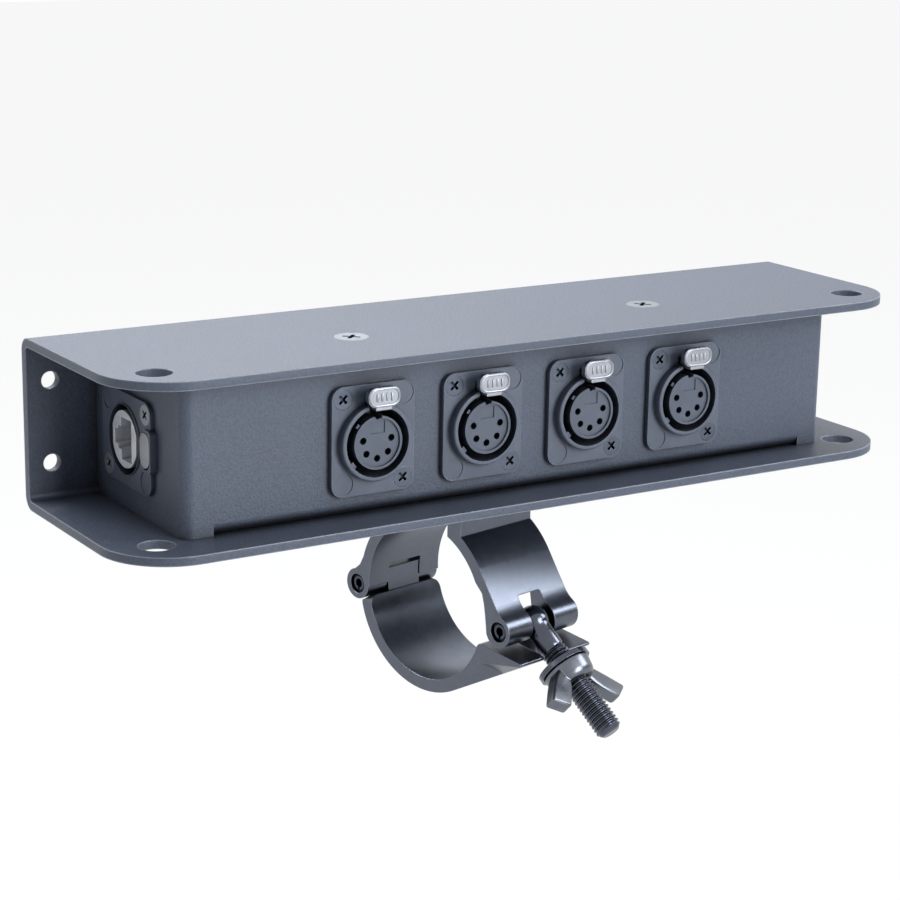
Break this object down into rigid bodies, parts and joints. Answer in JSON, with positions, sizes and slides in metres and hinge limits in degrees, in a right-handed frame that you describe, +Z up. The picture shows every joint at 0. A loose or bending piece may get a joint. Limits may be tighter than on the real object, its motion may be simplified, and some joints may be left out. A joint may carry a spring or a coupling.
{
  "type": "cable breakout box",
  "caption": "Breakout box for cables: round locking sockets in a sheet-metal box, held in a channel bracket on a half coupler whose hinged jaw closes round a tube with a swing bolt.",
  "frame": {"origin": "middle of the coupler's tube seat, on the tube's centre line", "axes": "+X along the box, towards the end without the data port; +Y towards the bracket's closed back wall, away from the connectors; +Z up, from the coupler to the box"},
  "size_m": [0.26, 0.1007, 0.1176],
  "materials": {
    "bracket_coat": "fine black powder coat, satin, worn pale along its edges",
    "box_coat": "smooth black powder coat, satin",
    "screw_silver": "bright zinc, lightly scratched",
    "nut_zinc": "dull zinc",
    "connector_black": "black die-cast shell, satin",
    "insert_black": "dark moulded plastic",
    "contact_gold": "gold-plated",
    "tab_nickel": "bright nickel, lightly scratched",
    "latch_pin_steel": "plain steel",
    "screw_dark": "blackened steel",
    "screw_grey": "grey zinc",
    "cable_black": "black jacket",
    "jack_metal": "bright die-cast, satin",
    "board_green": "green solder mask",
    "terminal_green": "green moulded plastic",
    "coupler_black": "glossy black powder coat, chipped along its edges",
    "rolled_pin_steel": "spring steel, oiled",
    "bolt_black": "black chrome, bright on the thread's crests",
    "washer_black": "black chrome",
    "wing_black": "black chrome, satin on its broad faces",
    "mount_steel": "zinc-plated steel"
  },
  "bodies": {
    "frame": {"channel_bracket": "bracket_coat", "connector_box": "box_coat", "cover_screws_top": "screw_silver", "cover_screws_bottom": "screw_silver", "press_nuts": "nut_zinc", "outlet_1_shell": "connector_black", "outlet_2_shell": "connector_black", "outlet_3_shell": "connector_black", "outlet_4_shell": "connector_black", "port_shell": "connector_black", "outlet_1_insert": "insert_black", "outlet_2_insert": "insert_black", "outlet_3_insert": "insert_black", "outlet_4_insert": "insert_black", "outlet_1_contacts": "contact_gold", "outlet_2_contacts": "contact_gold", "outlet_3_contacts": "contact_gold", "outlet_4_contacts": "contact_gold", "port_contacts": "contact_gold", "outlet_1_latch_pin": "latch_pin_steel", "outlet_2_latch_pin": "latch_pin_steel", "outlet_3_latch_pin": "latch_pin_steel", "outlet_4_latch_pin": "latch_pin_steel", "port_latch_pin": "latch_pin_steel", "outlet_1_screws": "screw_dark", "outlet_2_screws": "screw_dark", "outlet_3_screws": "screw_dark", "outlet_4_screws": "screw_dark", "port_screws": "screw_grey", "outlet_1_cable": "cable_black", "outlet_2_cable": "cable_black", "outlet_3_cable": "cable_black", "outlet_4_cable": "cable_black", "port_jack": "jack_metal", "port_board": "board_green", "port_terminals": "terminal_green", "clamp_saddle": "coupler_black", "rear_pin": "rolled_pin_steel", "front_pin": "rolled_pin_steel", "mounting_bolt": "mount_steel", "mounting_washer": "mount_steel", "mounting_spring_washer": "mount_steel", "mounting_nut": "mount_steel"},
    "jaw": {"clamp_jaw": "coupler_black"},
    "bolt": {"swing_bolt": "bolt_black"},
    "washer": {"bolt_washer": "washer_black"},
    "nut": {"wing_nut": "wing_black"},
    "tab_1": {"outlet_1_latch": "tab_nickel"},
    "tab_2": {"outlet_2_latch": "tab_nickel"},
    "tab_3": {"outlet_3_latch": "tab_nickel"},
    "tab_4": {"outlet_4_latch": "tab_nickel"},
    "port_tab": {"port_latch": "tab_nickel"}
  },
  "joints": [
    {"name": "jaw_swing", "type": "hinge", "parent": "frame", "child": "jaw", "pos_m": [-0.00636, 0.02891, -0.0018], "axis": [0.9767, 0.2147, 0], "range_deg": [0, 95]},
    {"name": "bolt_swing", "type": "hinge", "parent": "frame", "child": "bolt", "pos_m": [0.00674, -0.03067, -0.0018], "axis": [0.9767, 0.2147, 0], "range_deg": [-50, 23]},
    {"name": "nut_travel", "type": "slide", "parent": "bolt", "child": "washer", "axis": [0.1683, -0.7654, -0.6211], "range_m": [0, 0.014]},
    {"name": "nut_turn", "type": "hinge", "parent": "washer", "child": "nut", "pos_m": [0.00674, -0.03067, -0.0018], "axis": [0.1683, -0.7654, -0.6211], "range_deg": [-1, 4033]},
    {"name": "tab_1_press", "type": "slide", "parent": "frame", "child": "tab_1", "axis": [0, 1, 0], "range_m": [0, 0.001], "stiffness_N_per_m": 900, "springref_m": -0.0015},
    {"name": "tab_2_press", "type": "slide", "parent": "frame", "child": "tab_2", "axis": [0, 1, 0], "range_m": [0, 0.001], "stiffness_N_per_m": 900, "springref_m": -0.0015},
    {"name": "tab_3_press", "type": "slide", "parent": "frame", "child": "tab_3", "axis": [0, 1, 0], "range_m": [0, 0.001], "stiffness_N_per_m": 900, "springref_m": -0.0015},
    {"name": "tab_4_press", "type": "slide", "parent": "frame", "child": "tab_4", "axis": [0, 1, 0], "range_m": [0, 0.001], "stiffness_N_per_m": 900, "springref_m": -0.0015},
    {"name": "port_tab_press", "type": "slide", "parent": "frame", "child": "port_tab", "axis": [1, 0, 0], "range_m": [0, 0.0006], "stiffness_N_per_m": 900, "springref_m": -0.0015}
  ],
  "couplings": [
    {"joint": "nut_turn", "follows": "nut_travel", "rad_per_m": 5026.5}
  ]
}
